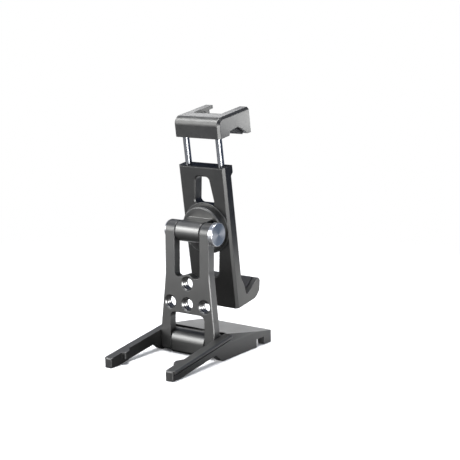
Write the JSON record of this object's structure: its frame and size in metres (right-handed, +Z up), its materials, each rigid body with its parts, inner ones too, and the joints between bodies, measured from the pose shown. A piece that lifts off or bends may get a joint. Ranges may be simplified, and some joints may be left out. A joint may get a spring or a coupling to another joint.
{
  "type": "folding phone mount",
  "caption": "Folding aluminium phone clamp with a spring jaw, a swivel, a tapped fork arm and a low two-pronged desk stand that folds flat.",
  "frame": {"origin": "on the ground, in the middle of the base's footprint", "axes": "+Z up, +X along both hinge axes, +Y towards the nose of the base, the side that the clamp and the phone face"},
  "size_m": [0.0378, 0.0742, 0.1072],
  "materials": {
    "anodised_base": "fine satin anodised",
    "anodised_arm": "fine satin anodised",
    "anodised_clamp": "fine satin anodised",
    "anodised_jaw": "fine satin anodised",
    "steel": "turned",
    "blued_nut": "turned face with a bright rim",
    "rod_chrome": "polished",
    "spring_steel": "drawn wire",
    "washer_plastic": "matte",
    "grip_pad": "matte with a fine grain",
    "rubber": "matte"
  },
  "bodies": {
    "base": {"base_frame": "anodised_base", "front_foot_strip": "rubber", "tip_foot_left": "rubber", "tip_foot_right": "rubber"},
    "arm": {"link_arm": "anodised_arm", "lower_hinge_bolt": "steel", "lower_washer_left": "washer_plastic", "lower_washer_right": "washer_plastic", "upper_hinge_bolt": "steel", "upper_cap_nut": "blued_nut", "upper_washer_left": "washer_plastic", "upper_washer_right": "washer_plastic"},
    "knuckle": {"swivel_knuckle": "anodised_arm", "swivel_screw": "steel", "swivel_wave_washer": "steel", "swivel_friction_ring": "anodised_arm"},
    "clamp": {"clamp_body": "anodised_clamp", "back_pad": "grip_pad", "hook_pad": "grip_pad", "return_spring_left": "spring_steel", "return_spring_right": "spring_steel"},
    "jaw": {"top_jaw": "anodised_jaw", "guide_rod_left": "rod_chrome", "guide_rod_right": "rod_chrome", "rod_stop_left": "steel", "rod_stop_right": "steel", "jaw_pad": "grip_pad"}
  },
  "joints": [
    {"name": "lower_hinge", "type": "hinge", "parent": "base", "child": "arm", "pos_m": [0, 0.00145, 0.0057], "axis": [1, 0, 0], "range_deg": [-10, 90]},
    {"name": "upper_hinge", "type": "hinge", "parent": "arm", "child": "knuckle", "pos_m": [0, 0.00145, 0.0544], "axis": [1, 0, 0], "range_deg": [-21.5, 80]},
    {"name": "swivel", "type": "hinge", "parent": "knuckle", "child": "clamp", "pos_m": [0, 0.01176, 0.05463], "axis": [0, 0.9859, 0.1673], "range_deg": [-90, 90]},
    {"name": "jaw_slide", "type": "slide", "parent": "clamp", "child": "jaw", "axis": [0, -0.1673, 0.9859], "range_m": [-0.0125, 0.016], "stiffness_N_per_m": 300, "deforming": ["return_spring_left", "return_spring_right"]}
  ]
}
